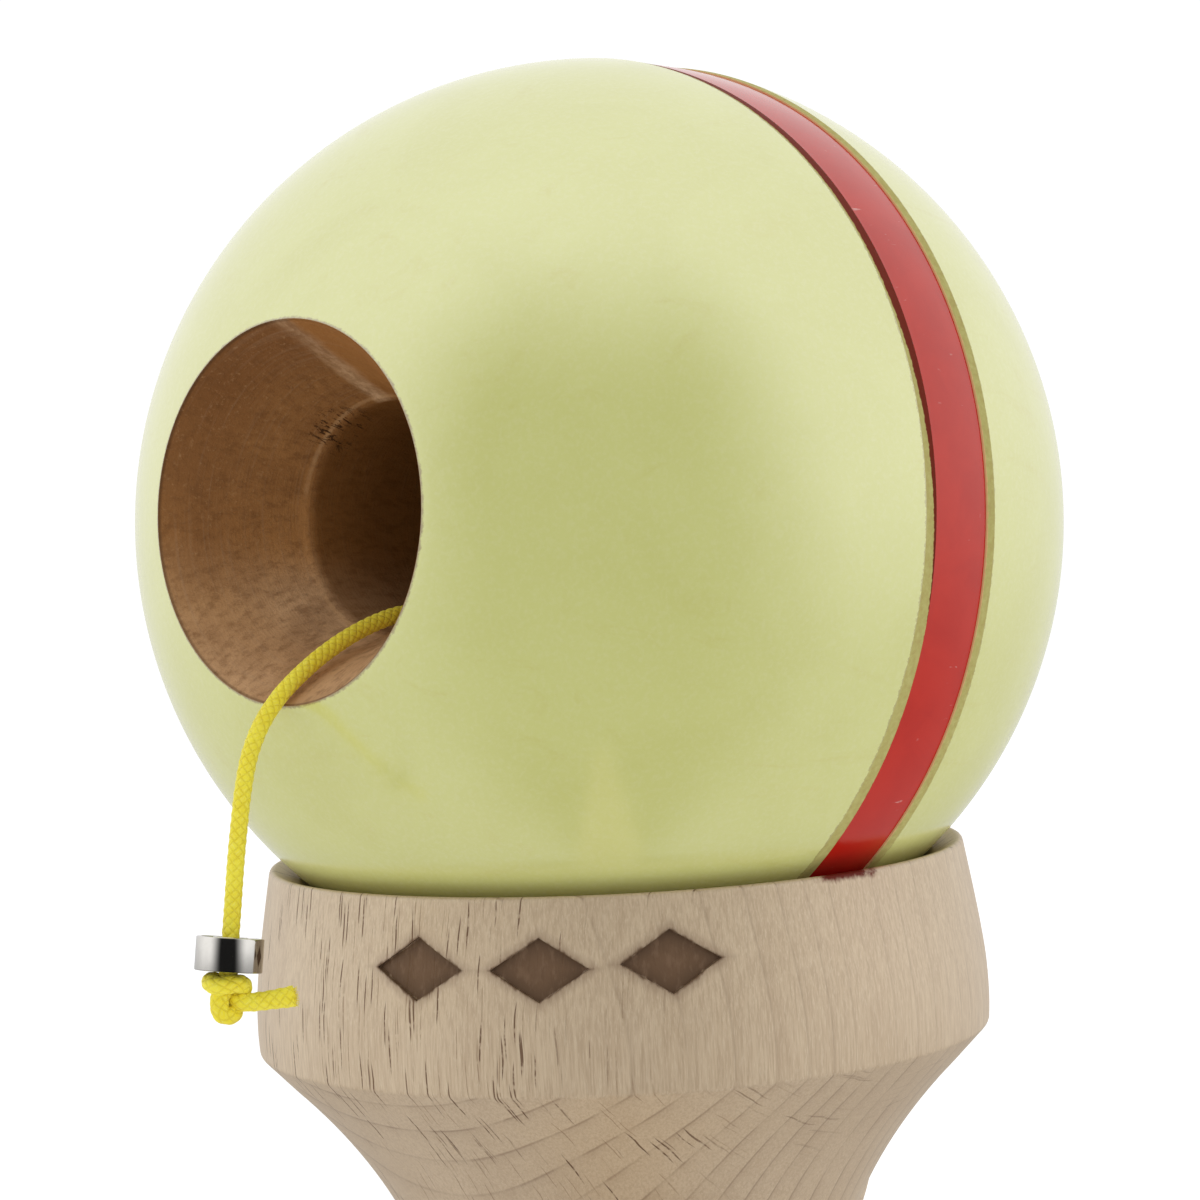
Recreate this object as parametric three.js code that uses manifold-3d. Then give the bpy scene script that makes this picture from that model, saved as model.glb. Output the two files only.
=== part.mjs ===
// A kendama, the wooden ball and cup skill toy: a bored ball on a cord, a cross-piece with a big
// and a small cup, and a spiked handle with a third cup at its end. A miniature ball bearing on
// the cord's end, held by a knot, lets the cord untwist.
//
// Millimetres, +Z up. It stands on the small cup's rim with the ball in the big cup and the handle
// level. The origin is on the surface that it stands on, midway between the spike's tip and the
// handle's end. The spike points along -Y.

import * as THREE from 'three';
import { mergeVertices } from 'three/addons/utils/BufferGeometryUtils.js';
import Module from 'manifold-3d';

const wasm = await Module();
wasm.setup();

const DEGREE = Math.PI / 180;
const CLEARANCE = 0.3;              // between pieces that meet

// Handle, along Y from the cross-piece's axis
const SPIKE_LENGTH = 63;
const GRIP_LENGTH = 99;
const HANDLE_HEIGHT = 34;           // its axis above the small cup's rim
const HANDLE_TAPER = [7.6, 8.2];    // radius where it enters and leaves the cross-piece
const GRIP_RADIUS = 10.2;
const BASE_RADIUS = 18.9;
const BASE_CUP_RADIUS = 16.2;
const BASE_CUP_DEPTH = 9;

// Cross-piece, up its own axis
const CROSS_LENGTH = 72;
const WAIST_RADIUS = 12.3;
const FLARE_RADIUS = 34.5;          // of the hollow curve between the waist and each cup
const SMALL_RADIUS = 21.3;
const SMALL_CUP_RADIUS = 17.9;
const SMALL_CUP_DEPTH = 11;
const BIG_RADIUS = 23.9;
const BIG_CUP_RADIUS = 20.5;
const BIG_CUP_DEPTH = 14;

// Ball, seated in the big cup
const BALL_RADIUS = 30;
const BALL_ABOVE_RIM = 21.2;
const BORE_TURN = 40.35 * DEGREE;   // of the bore's mouth, from -Y towards -X
const BORE_TILT = 4.5 * DEGREE;     // of the bore's mouth, upwards
const BORE_MOUTH_RADIUS = 11.5;
const BORE_RADIUS = 6.5;            // past the flared mouth
const BORE_DEPTH = 36;
const CORD_HOLE_RADIUS = 1.4;
const STRIPE_PLACE = 1.05;          // its middle, from the ball's equator towards the bore's mouth
const STRIPE_WIDTH = 5.2;
const STRIPE_DEPTH = 0.6;

// Cord
const CORD_RADIUS = 0.6;
const CORD_STEP = 3.6;
const CORD_SIDES = 8;
const COIL_RADIUS = 6.8;
const COIL_TURNS = 2.5;
const COIL_CENTRE = [5.2, 50];      // along X, and along Y from the cross-piece's axis
const KNOT_RADIUS = 1.35;
const BEARING_PLACE = 26;           // below the bore's axis

// Bearing: 1.5 mm bore, 4 mm outside, 2 mm wide
const BEARING_BORE = 0.75;
const BEARING_RADIUS = 2.0;
const BEARING_WIDTH = 2.0;
const PITCH_RADIUS = 1.375;
const ROLLER_RADIUS = 0.35;
const ROLLER_COUNT = 7;
const RACEWAY_RADIUS = 0.39;
const SHOULDER_GAP = 0.345;         // from the pitch circle to each ring's shoulder

const AXIS_Y = (SPIKE_LENGTH - GRIP_LENGTH) / 2;
const BALL_CENTRE = new THREE.Vector3(0, AXIS_Y, CROSS_LENGTH + BALL_ABOVE_RIM);
const BORE_AXIS = new THREE.Vector3(
  -Math.sin(BORE_TURN) * Math.cos(BORE_TILT),
  -Math.cos(BORE_TURN) * Math.cos(BORE_TILT),
  Math.sin(BORE_TILT),
);
const SIDE_AXIS = new THREE.Vector3(0, 0, 1).cross(BORE_AXIS).negate().normalize();
const BORE_DOWN = BORE_AXIS.clone().cross(SIDE_AXIS).normalize();

// ---- Shape helpers

function toSolid(geometry) {
  const bare = geometry.clone();
  bare.deleteAttribute('normal');
  bare.deleteAttribute('uv');
  const merged = mergeVertices(bare, 1e-4);
  return new wasm.Manifold(new wasm.Mesh({
    numProp: 3,
    vertProperties: merged.attributes.position.array,
    triVerts: new Uint32Array(merged.index.array),
  }));
}

function toGeometry(solid) {
  const mesh = solid.getMesh();
  const geometry = new THREE.BufferGeometry();
  geometry.setAttribute('position', new THREE.BufferAttribute(mesh.vertProperties, 3));
  geometry.setIndex(new THREE.BufferAttribute(mesh.triVerts, 1));
  return geometry;
}

function cut(geometry, ...cutters) {
  const start = toSolid(geometry);
  return toGeometry(cutters.reduce((left, cutter) => left.subtract(toSolid(cutter)), start));
}

// Points on a circular arc, as [radius, place] pairs of a turned outline.
function arc(centre, radius, from, to, steps) {
  return Array.from({ length: steps + 1 }, (_, i) => {
    const angle = (from + (to - from) * i / steps) * DEGREE;
    return [centre[0] + radius * Math.cos(angle), centre[1] + radius * Math.sin(angle)];
  });
}

// A dished cup's hollow, from its edge to its bottom on the axis.
function dish(edgeRadius, edgePlace, bottomPlace, steps) {
  const depth = Math.abs(edgePlace - bottomPlace);
  const radius = (edgeRadius ** 2 + depth ** 2) / (2 * depth);
  const opening = Math.asin(edgeRadius / radius);
  const towardsEdge = Math.sign(edgePlace - bottomPlace);
  return Array.from({ length: steps + 1 }, (_, i) => {
    const angle = opening * (1 - i / steps);
    return [radius * Math.sin(angle), bottomPlace + towardsEdge * radius * (1 - Math.cos(angle))];
  });
}

function smooth(points, steps) {
  const curve = new THREE.SplineCurve(points.map(([x, y]) => new THREE.Vector2(x, y)));
  return curve.getPoints(steps).map((point) => [point.x, point.y]);
}

// Turns an outline of [radius, place] pairs about Y.
function turned(outline, segments) {
  return new THREE.LatheGeometry(outline.map(([x, y]) => new THREE.Vector2(Math.abs(x), y)), segments);
}

// The same about Z.
function turnedUp(outline, segments) {
  return turned(outline, segments).rotateX(Math.PI / 2);
}

function tube(points) {
  const path = new THREE.CatmullRomCurve3(points, false, 'centripetal');
  const circle = new THREE.Path().absarc(0, 0, CORD_RADIUS, 0, 2 * Math.PI);
  const section = new THREE.Shape(circle.getPoints(CORD_SIDES / 2));
  const steps = Math.round(path.getLength() / CORD_STEP);
  return new THREE.ExtrudeGeometry(section, { steps, extrudePath: path, bevelEnabled: false });
}

// A point of the cord's run through the ball, in the upright plane of the bore's axis.
function inBore(along, below, aside = 0) {
  return BALL_CENTRE.clone()
    .addScaledVector(BORE_AXIS, along)
    .addScaledVector(BORE_DOWN, below)
    .addScaledVector(SIDE_AXIS, aside);
}

// A point given from the cross-piece's axis, at the surface that the toy stands on.
function fromAxis([x, y, z]) {
  return new THREE.Vector3(x, AXIS_Y + y, z);
}

function piece(name, geometry, { color, roughness, metalness = 0 }) {
  const mesh = new THREE.Mesh(geometry, new THREE.MeshStandardMaterial({ color, roughness, metalness }));
  mesh.name = name;
  return mesh;
}

// ---- Materials

const BEECH = { color: 0xcdbfa2, roughness: 0.75 };
const LACQUER = { color: 0xd6d88c, roughness: 0.12 };
const YELLOW_CORD = { color: 0xe6d52c, roughness: 0.7 };
const STEEL = { color: 0xc4c4c4, roughness: 0.18, metalness: 1 };
const BRASS = { color: 0xb08d3c, roughness: 0.4, metalness: 1 };

// ---- Cross-piece: a small cup below, a narrow waist, a big cup above

function crossPiece() {
  const flareReach = WAIST_RADIUS + FLARE_RADIUS;
  const outline = [
    ...dish(SMALL_CUP_RADIUS, 0.5, SMALL_CUP_DEPTH, 6).reverse(),
    [SMALL_CUP_RADIUS + 0.5, 0],
    [SMALL_RADIUS - 0.9, 0],
    [SMALL_RADIUS - 0.4, 0.7],
    [SMALL_RADIUS, 9],
    [SMALL_RADIUS - 0.4, 11.2],
    ...arc([flareReach, HANDLE_HEIGHT], FLARE_RADIUS, 218, 136, 10),
    [BIG_RADIUS - 0.7, 58.7],
    [BIG_RADIUS - 0.1, 59.6],
    [BIG_RADIUS, 61],
    [BIG_RADIUS - 0.4, 66.3],
    [BIG_RADIUS - 1.5, CROSS_LENGTH],
    ...dish(BIG_CUP_RADIUS, CROSS_LENGTH - 1, CROSS_LENGTH - BIG_CUP_DEPTH, 7),
  ];
  const body = turnedUp(outline, 40);

  const reach = 30;
  const slope = (HANDLE_TAPER[1] - HANDLE_TAPER[0]) / (2 * WAIST_RADIUS);
  const middle = (HANDLE_TAPER[0] + HANDLE_TAPER[1]) / 2 + CLEARANCE;
  const handleHole = new THREE.CylinderGeometry(
    middle + slope * reach, middle - slope * reach, 2 * reach, 32,
  ).translate(0, 0, HANDLE_HEIGHT);
  const cordHole = new THREE.CylinderGeometry(CORD_HOLE_RADIUS, CORD_HOLE_RADIUS, reach, 12)
    .rotateZ(Math.PI / 2)
    .translate(reach / 2, 0, HANDLE_HEIGHT);

  const mesh = piece('cross_piece', cut(body, handleHole, cordHole), BEECH);
  mesh.position.set(0, AXIS_Y, 0);
  return mesh;
}

// ---- Handle: the spike, the part held in the cross-piece, the grip and the base cup

const KNOT_POCKET_DEPTH = 6;

function spikedHandle() {
  const spike = smooth([[1.7, -SPIKE_LENGTH + 0.6], [3.6, -50], [5.4, -34], [6.9, -19],
    [HANDLE_TAPER[0], -WAIST_RADIUS]], 6);
  const grip = smooth([[9.6, 16.5], [GRIP_RADIUS, 29], [9.7, 46], [8.6, 64], [8.4, 73], [10.2, 81],
    [14.2, 87], [17.8, 91.2], [BASE_RADIUS, 94.5]], 14);
  const outline = [
    [0, -SPIKE_LENGTH],
    [1.2, -SPIKE_LENGTH],
    ...spike,
    [HANDLE_TAPER[1], WAIST_RADIUS + 0.5],
    [9.1, WAIST_RADIUS + 2],
    ...grip,
    [BASE_RADIUS, GRIP_LENGTH - 1],
    [BASE_RADIUS - 0.7, GRIP_LENGTH],
    [BASE_CUP_RADIUS + 0.4, GRIP_LENGTH],
    ...dish(BASE_CUP_RADIUS, GRIP_LENGTH - 0.4, GRIP_LENGTH - BASE_CUP_DEPTH, 6),
  ];
  const body = turned(outline, 32);

  const cordHole = new THREE.CylinderGeometry(CORD_HOLE_RADIUS, CORD_HOLE_RADIUS, 2 * BASE_RADIUS, 12)
    .rotateZ(Math.PI / 2)
    .translate(BASE_RADIUS - KNOT_POCKET_DEPTH / 2, 0, 0);
  const pocketRadius = 2.3;
  const knotPocket = new THREE.CylinderGeometry(pocketRadius, pocketRadius, 2 * KNOT_POCKET_DEPTH, 16)
    .rotateZ(Math.PI / 2)
    .translate(-2 - KNOT_POCKET_DEPTH, 0, 0);

  const mesh = piece('spiked_handle', cut(body, cordHole, knotPocket), BEECH);
  mesh.position.set(0, AXIS_Y, HANDLE_HEIGHT);
  return mesh;
}

// ---- Ball: turned about its bore, with a painted stripe in a shallow groove

function ball() {
  const onSphere = (place, radius = BALL_RADIUS) => Math.asin(place / radius) / DEGREE;
  const mouthAngle = Math.acos(BORE_MOUTH_RADIUS / BALL_RADIUS) / DEGREE;
  const backAngle = -Math.acos(CORD_HOLE_RADIUS / BALL_RADIUS) / DEGREE;
  const stripeTop = onSphere(STRIPE_PLACE + STRIPE_WIDTH / 2);
  const stripeBottom = onSphere(STRIPE_PLACE - STRIPE_WIDTH / 2);
  const mouth = BALL_RADIUS * Math.sin(mouthAngle * DEGREE);
  const flare = smooth([[BORE_MOUTH_RADIUS, mouth], [9.35, mouth - 3], [7.85, mouth - 5.9],
    [6.85, mouth - 9], [BORE_RADIUS, mouth - 13]], 6);
  const outline = [
    ...arc([0, 0], BALL_RADIUS, backAngle, stripeBottom, 11),
    ...arc([0, 0], BALL_RADIUS - STRIPE_DEPTH, stripeBottom, stripeTop, 2),
    ...arc([0, 0], BALL_RADIUS, stripeTop, mouthAngle, 8).slice(0, -1),
    ...flare,
    [BORE_RADIUS - 0.3, mouth - BORE_DEPTH + 5],
    [BORE_RADIUS - 1.5, mouth - BORE_DEPTH + 2],
    [CORD_HOLE_RADIUS, mouth - BORE_DEPTH],
  ];
  const mesh = piece('ball', turnedUp([...outline, outline[0]], 40), LACQUER);
  mesh.position.copy(BALL_CENTRE);
  mesh.quaternion.setFromUnitVectors(new THREE.Vector3(0, 0, 1), BORE_AXIS);
  return mesh;
}

// ---- Cord: one length, from its knot in the handle, through a small coil on the surface, up over
// ---- the grip, in at the back of the ball, through the bore and down from the bore's mouth

// From the knot out through the cross-piece and down to the coil.
const FROM_HANDLE = [
  [-2.4, 0, 34], [2, 0, 34], [7, 0, 34], [12.3, 0, 34], [15.2, 0.2, 33.5], [17.6, 0.8, 31.6],
  [19.3, 2, 28.2], [20.3, 3.6, 23.5], [20.9, 5.2, 18], [21.3, 7, 12.6], [21.6, 9, 7.6],
  [21.6, 11.6, 3.6], [21.2, 15, 1.3], [20.2, 19, 0.7], [18.4, 24, 0.65], [15.8, 30, 0.65],
  [13.4, 36, 0.65], [12.2, 41, 0.65], [12, 45.1, 0.65],
];

// From the coil up the grip's left flank and across to the back of the ball.
const TO_BALL = [
  [-1.65, 45.1, 3.4], [-2, 41.5, 2.6], [-3.2, 38, 1.4], [-5.2, 35, 0.8], [-7.6, 32.4, 0.75],
  [-9.6, 29.9, 1.4], [-10.6, 28.2, 4], [-10.9, 27.4, 9], [-10.95, 27, 16], [-10.95, 26.7, 24],
  [-10.95, 26.5, 31], [-10.7, 26.5, 36], [-9.3, 26.5, 40.6], [-6, 26.7, 46], [-1.2, 27, 52],
  [4.2, 27.3, 58.6], [9.8, 27.6, 65.6], [15, 27.8, 72.8], [19.5, 28, 80], [22, 28, 85],
  [22.9, 27.6, 88.1], [22.4, 26.5, 90.1], [20.9, 24.75, 90.7],
];

// Through the ball, and down from the bore's mouth, as [along the bore, below its axis].
const IN_BALL = [
  [-31.8, 0], [-24, 0], [-16, 0], [-9, 0.1], [-4, 1.1], [1, 3], [6, 4.7], [11, 5.5],
  [15, 5.8], [18.3, 6.05], [21.6, 7.05], [24.5, 8.45], [26.6, 9.8], [28, 10.9],
];
const FROM_MOUTH = [
  [28.25, 11.15], [29, 11.95], [29.75, 13], [30.45, 14.5], [30.9, 16.35], [31.2, 18.4],
  [31.45, 20.5], [31.7, 23.4], [31.93, BEARING_PLACE], [32.02, 27],
];

function cord() {
  const ringGap = CORD_RADIUS + 0.1;
  const top = CORD_RADIUS * 2 * (COIL_TURNS + 0.5);
  const ring = [
    [COIL_RADIUS - ringGap, 0], [COIL_RADIUS + ringGap, 0],
    [COIL_RADIUS + ringGap, top], [COIL_RADIUS - ringGap, top],
  ];
  const coil = piece('cord_coil', turnedUp([...ring, ring[0]], 28), YELLOW_CORD);
  coil.position.copy(fromAxis([...COIL_CENTRE, 0]));

  const runs = {
    cord_from_handle: FROM_HANDLE.map(fromAxis),
    cord_to_ball: TO_BALL.map(fromAxis),
    cord_in_ball: IN_BALL.map(([along, below]) => inBore(along, below)),
    cord_end: FROM_MOUTH.map(([along, below]) => inBore(along, below)),
  };
  return [coil, ...Object.entries(runs).map(([name, points]) => piece(name, tube(points), YELLOW_CORD))];
}

function knots() {
  const lump = new THREE.SphereGeometry(KNOT_RADIUS, 12, 8);
  const handleKnot = piece('handle_knot', lump, YELLOW_CORD);
  handleKnot.position.copy(fromAxis([-4.1, 0, HANDLE_HEIGHT]));

  const endKnot = piece('end_knot', lump, YELLOW_CORD);
  endKnot.position.copy(inBore(32.15, 28.65));

  const tail = piece('knot_tail', tube([
    inBore(31.1, 28.75, -1.3), inBore(30.3, 28.8, -2.2), inBore(29.3, 28.7, -3.3), inBore(28.4, 28.55, -4.3),
  ]), YELLOW_CORD);
  return [handleKnot, endKnot, tail];
}

// ---- Bearing on the cord's end, resting on the knot

function bearing() {
  const half = BEARING_WIDTH / 2;
  const chamfer = 0.1;
  const raceEdge = Math.acos(SHOULDER_GAP / RACEWAY_RADIUS) / DEGREE;
  const outerShoulder = PITCH_RADIUS + SHOULDER_GAP;
  const innerShoulder = PITCH_RADIUS - SHOULDER_GAP;
  const outer = [
    [outerShoulder, -half], [BEARING_RADIUS - chamfer, -half], [BEARING_RADIUS, chamfer - half],
    [BEARING_RADIUS, half - chamfer], [BEARING_RADIUS - chamfer, half], [outerShoulder, half],
    ...arc([PITCH_RADIUS, 0], RACEWAY_RADIUS, raceEdge, -raceEdge, 4),
  ];
  const inner = [
    [BEARING_BORE, -half], [innerShoulder, -half],
    ...arc([PITCH_RADIUS, 0], RACEWAY_RADIUS, 180 + raceEdge, 180 - raceEdge, 4),
    [innerShoulder, half], [BEARING_BORE, half],
  ];
  const shieldThickness = 0.1;
  const shield = [
    [innerShoulder + 0.1, 0], [outerShoulder - 0.03, 0],
    [outerShoulder - 0.03, shieldThickness], [innerShoulder + 0.1, shieldThickness],
  ];
  const cage = [
    [PITCH_RADIUS - 0.13, -0.5], [PITCH_RADIUS + 0.13, -0.5],
    [PITCH_RADIUS + 0.13, 0.5], [PITCH_RADIUS - 0.13, 0.5],
  ];
  const ring = (outline, segments) => turnedUp([...outline, outline[0]], segments);

  const rollers = Array.from({ length: ROLLER_COUNT }, (_, i) => {
    const angle = 2 * Math.PI * i / ROLLER_COUNT;
    return new THREE.Vector3(PITCH_RADIUS * Math.cos(angle), PITCH_RADIUS * Math.sin(angle), 0);
  });
  const pockets = rollers.map((place) => (
    new THREE.SphereGeometry(ROLLER_RADIUS + 0.06, 8, 6).translate(place.x, place.y, place.z)
  ));

  const group = new THREE.Group();
  group.add(piece('bearing_outer_ring', ring(outer, 28), STEEL));
  group.add(piece('bearing_inner_ring', ring(inner, 20), STEEL));
  group.add(piece('bearing_cage', cut(ring(cage, 28), ...pockets), BRASS));
  rollers.forEach((place, i) => {
    const roller = piece(`bearing_ball_${i + 1}`, new THREE.SphereGeometry(ROLLER_RADIUS, 9, 6), STEEL);
    roller.position.copy(place);
    group.add(roller);
  });
  for (const [name, place] of [['bearing_top_shield', 0.82], ['bearing_bottom_shield', -0.92]]) {
    const mesh = piece(name, ring(shield, 24), STEEL);
    mesh.position.set(0, 0, place);
    group.add(mesh);
  }

  const [above, below] = [inBore(31.45, 20.5), inBore(31.93, BEARING_PLACE)];
  group.position.copy(below);
  group.quaternion.setFromUnitVectors(new THREE.Vector3(0, 0, 1), above.clone().sub(below).normalize());
  return group;
}

const kendama = new THREE.Group();
kendama.add(crossPiece(), spikedHandle(), ball(), ...cord(), ...knots(), bearing());

export default kendama;
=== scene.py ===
"""The looks of a kendama: a lacquered ball on a braided cord, seated in a beech cross-piece with a spiked
beech handle, and a miniature steel bearing knotted on the cord's end. Sizes here are in millimetres."""
import math

import bpy
import numpy as np
from mathutils import Matrix, Vector


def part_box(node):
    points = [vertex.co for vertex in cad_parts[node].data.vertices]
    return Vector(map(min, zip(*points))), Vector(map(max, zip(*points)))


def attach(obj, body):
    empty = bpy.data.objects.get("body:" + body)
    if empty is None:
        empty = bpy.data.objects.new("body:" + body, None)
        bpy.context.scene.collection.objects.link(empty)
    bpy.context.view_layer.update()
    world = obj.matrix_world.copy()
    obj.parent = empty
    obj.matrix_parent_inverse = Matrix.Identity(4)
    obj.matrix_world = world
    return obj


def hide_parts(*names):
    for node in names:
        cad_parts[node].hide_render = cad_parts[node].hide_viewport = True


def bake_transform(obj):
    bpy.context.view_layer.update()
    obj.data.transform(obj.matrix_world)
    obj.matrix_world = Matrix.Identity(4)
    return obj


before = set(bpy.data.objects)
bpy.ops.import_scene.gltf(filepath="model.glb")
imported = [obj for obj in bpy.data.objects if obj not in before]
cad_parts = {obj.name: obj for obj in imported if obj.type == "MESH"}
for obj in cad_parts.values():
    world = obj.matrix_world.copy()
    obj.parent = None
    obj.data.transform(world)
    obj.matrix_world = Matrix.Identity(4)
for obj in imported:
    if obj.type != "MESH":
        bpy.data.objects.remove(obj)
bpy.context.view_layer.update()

MM = 0.001
AXIS_Y = -18.0                       # the cross-piece's axis
HANDLE_Z = 34.0                      # the handle's axis
BALL = np.array([0.0, AXIS_Y, 93.2])
TURN, TILT = math.radians(40.35), math.radians(4.5)
BORE = np.array([-math.sin(TURN) * math.cos(TILT), -math.cos(TURN) * math.cos(TILT), math.sin(TILT)])
SIDE = -np.cross([0, 0, 1], BORE) / np.linalg.norm(np.cross([0, 0, 1], BORE))
DOWN = np.cross(BORE, SIDE)
BALL_RADIUS = 30.0
MOUTH_RADIUS = 11.5
MOUTH = math.sqrt(BALL_RADIUS ** 2 - MOUTH_RADIUS ** 2)   # from the ball's centre to the bore's mouth


def in_bore(along, below, aside=0.0):
    """A point given along the bore's axis, below it and beside it, from the ball's centre."""
    return BALL + along * BORE + below * DOWN + aside * SIDE


def from_axis(points):
    """Points given from the cross-piece's axis."""
    return [np.array([x, AXIS_Y + y, z]) for x, y, z in points]


# ---------------------------------------------------------------- camera

def camera():
    data = bpy.data.cameras.new("camera")
    data.lens, data.sensor_width = 108.46, 36.0
    data.clip_start, data.clip_end = 0.01, 20.0
    eye = bpy.data.objects.new("camera", data)
    right = Vector((0.998125, 0.035903, -0.049580))
    up = Vector((0.047720, 0.050939, 0.997561))
    back = right.cross(up)
    place = Matrix((right, up, back)).transposed().to_4x4()
    place.translation = Vector(BALL * MM) + Vector((0.008829, -0.235208, 0.006604))
    eye.matrix_world = place
    bpy.context.scene.collection.objects.link(eye)
    bpy.context.scene.camera = eye


camera()


# ---------------------------------------------------------------- meshes

def mesh(name, points, faces, materials, indices=None, sharp=None):
    """An object from points in millimetres."""
    data = bpy.data.meshes.new(name)
    data.from_pydata((np.asarray(points) * MM).tolist(), [], faces)
    for material in materials:
        data.materials.append(material)
    if indices is not None:
        data.polygons.foreach_set("material_index", np.asarray(indices, np.int32))
    data.polygons.foreach_set("use_smooth", np.full(len(data.polygons), True))
    if sharp:
        data.set_sharp_from_angle(angle=math.radians(sharp))
    data.update()
    made = bpy.data.objects.new(name, data)
    bpy.context.scene.collection.objects.link(made)
    return made


def gaps(line):
    """The distance from each point of a line to the next."""
    return np.linalg.norm(np.diff(line, axis=0), axis=1)


def even(line, step):
    """A line's points again, at even steps along it."""
    line = np.asarray(line, float)
    along = np.concatenate([[0], np.cumsum(gaps(line))])
    places = np.linspace(0, along[-1], max(2, round(along[-1] / step) + 1))
    return np.stack([np.interp(places, along, line[:, i]) for i in range(line.shape[1])], axis=1)


def between(u, low, high, start, end):
    """The point that goes from start to end as u goes from low to high."""
    return (high - u) / (high - low) * start + (u - low) / (high - low) * end


def spline(points, step):
    """The centripetal Catmull-Rom curve through points, at even steps."""
    p = np.asarray(points, float)
    p = np.vstack([2 * p[0] - p[1], p, 2 * p[-1] - p[-2]])
    dense = []
    for i in range(1, len(p) - 2):
        q = p[i - 1:i + 3]
        t = np.concatenate([[0], np.cumsum(gaps(q) ** 0.5)])
        u = np.linspace(t[1], t[2], 40, endpoint=False)[:, None]
        a = [between(u, t[k], t[k + 1], q[k], q[k + 1]) for k in range(3)]
        b = [between(u, t[k], t[k + 2], a[k], a[k + 1]) for k in range(2)]
        dense.append(between(u, t[1], t[2], b[0], b[1]))
    dense.append(p[-2:-1])
    return even(np.vstack(dense), step)


def curve(points, step):
    """The same for an outline's (radius, height) points."""
    return [tuple(p) for p in spline(points, step)]


def carried(line):
    """The line's direction at each point, and two directions across it that don't twist."""
    ahead = np.gradient(line, axis=0)
    ahead /= np.linalg.norm(ahead, axis=1)[:, None]
    side = np.cross(ahead[0], [0.3, 0.2, 0.93] if abs(ahead[0][2]) < 0.8 else [1.0, 0.2, 0.1])
    across = []
    for direction in ahead:
        side = side - direction * side.dot(direction)
        side = side / np.linalg.norm(side)
        across.append(side)
    across = np.array(across)
    return ahead, across, np.cross(ahead, across)


STRANDS = 5            # each way round the braid
CROSSING = 0.62        # along the cord from one crossing of strands to the next


def braided(name, line, radius, sides, material, frayed=0, flare=0.0):
    """A braided cord along a line, wider by flare at its end. Its "braid" UV map counts strands round it and
    crossings along it."""
    ahead, across, third = carried(line)
    count = len(line)
    run = np.concatenate([[0], np.cumsum(gaps(line))]) / CROSSING
    turn = np.arange(sides) / sides
    left, right = turn[None] * STRANDS + run[:, None], turn[None] * STRANDS - run[:, None]
    over = (np.floor(left) + np.floor(right)) % 2 == 0
    width = np.where(over, left % 1, right % 1)
    reach = np.where(over, right % 1, left % 1)
    bulge = np.sqrt(np.clip(1 - (2 * width - 1) ** 2, 0, 1)) * (0.7 + 0.3 * np.sin(math.pi * reach))
    size = radius * (0.87 + 0.15 * bulge)
    size = size * (1 + flare * np.clip(1 - (run[-1] - run) * CROSSING / 1.8, 0, 1) ** 1.5)[:, None]
    angles = turn * 2 * math.pi
    wheel = (across[:, None] * np.cos(angles)[None, :, None]
             + third[:, None] * np.sin(angles)[None, :, None])
    points = (line[:, None] + wheel * size[:, :, None]).reshape(-1, 3)
    points = np.vstack([points, line[0] - ahead[0] * radius * 0.25, line[-1] + ahead[-1] * radius * 0.25])
    i, j = np.meshgrid(np.arange(count - 1), np.arange(sides), indexing="ij")
    i, j = i.ravel(), j.ravel()
    k = (j + 1) % sides
    corners = [i * sides + j, i * sides + k, (i + 1) * sides + k, (i + 1) * sides + j]
    faces = np.stack(corners, axis=1).tolist()
    marks = np.stack([
        np.stack([j, run[i] * sides / STRANDS], 1), np.stack([j + 1, run[i] * sides / STRANDS], 1),
        np.stack([j + 1, run[i + 1] * sides / STRANDS], 1), np.stack([j, run[i + 1] * sides / STRANDS], 1),
    ], axis=1).reshape(-1, 2) * STRANDS / sides
    caps = []
    for s in range(sides):
        n = (s + 1) % sides
        faces.append([s, count * sides, n])
        faces.append([(count - 1) * sides + s, (count - 1) * sides + n, count * sides + 1])
        caps += [[s, 0], [s, 0.5], [s + 1, 0], [s, 0], [s + 1, 0], [s, 0.5]]
    marks = np.vstack([marks, np.array(caps) * STRANDS / sides])
    if frayed:
        extra, extra_faces = fibres(line[-1], ahead[-1], across[-1], third[-1], radius, frayed)
        faces += [[v + len(points) for v in face] for face in extra_faces]
        marks = np.vstack([marks, np.full((sum(map(len, extra_faces)), 2), 0.5)])
        points = np.vstack([points, extra])
    made = mesh(name, points, faces, [material])
    layer = made.data.uv_layers.new(name="braid")
    layer.data.foreach_set("uv", marks.astype(np.float32).ravel())
    return made


def fibres(place, ahead, across, third, radius, count):
    """Loose filaments out of a cut end."""
    chance = np.random.default_rng(7)
    points, faces = [], []
    for _ in range(count):
        angle, far = chance.uniform(0, 2 * math.pi), radius * 0.95 * math.sqrt(chance.uniform(0.02, 1))
        out = across * math.cos(angle) + third * math.sin(angle)
        root = place + out * far - ahead * 0.1
        lean = ahead + out * (far / radius) * chance.uniform(0.1, 0.7) + chance.normal(0, 0.15, 3)
        lean /= np.linalg.norm(lean)
        length, thick = chance.uniform(0.15, 0.42), chance.uniform(0.016, 0.026)
        bend = np.cross(lean, chance.normal(0, 1, 3)) * 0.12
        for part in range(4):
            s = part / 3
            middle = root + lean * length * s + bend * length * s * s * 2
            for corner in range(4):
                a = corner * math.pi / 2
                points.append(middle + (across * math.cos(a) + third * math.sin(a)) * thick * (1 - 0.6 * s))
        base = len(points) - 16
        for part in range(3):
            for corner in range(4):
                here, beside = base + part * 4 + corner, base + part * 4 + (corner + 1) % 4
                faces.append([here, beside, beside + 4, here + 4])
        faces.append([base + 12, base + 13, base + 14, base + 15])
        faces.append([base + 3, base + 2, base + 1, base])
    return np.array(points), faces


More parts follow.
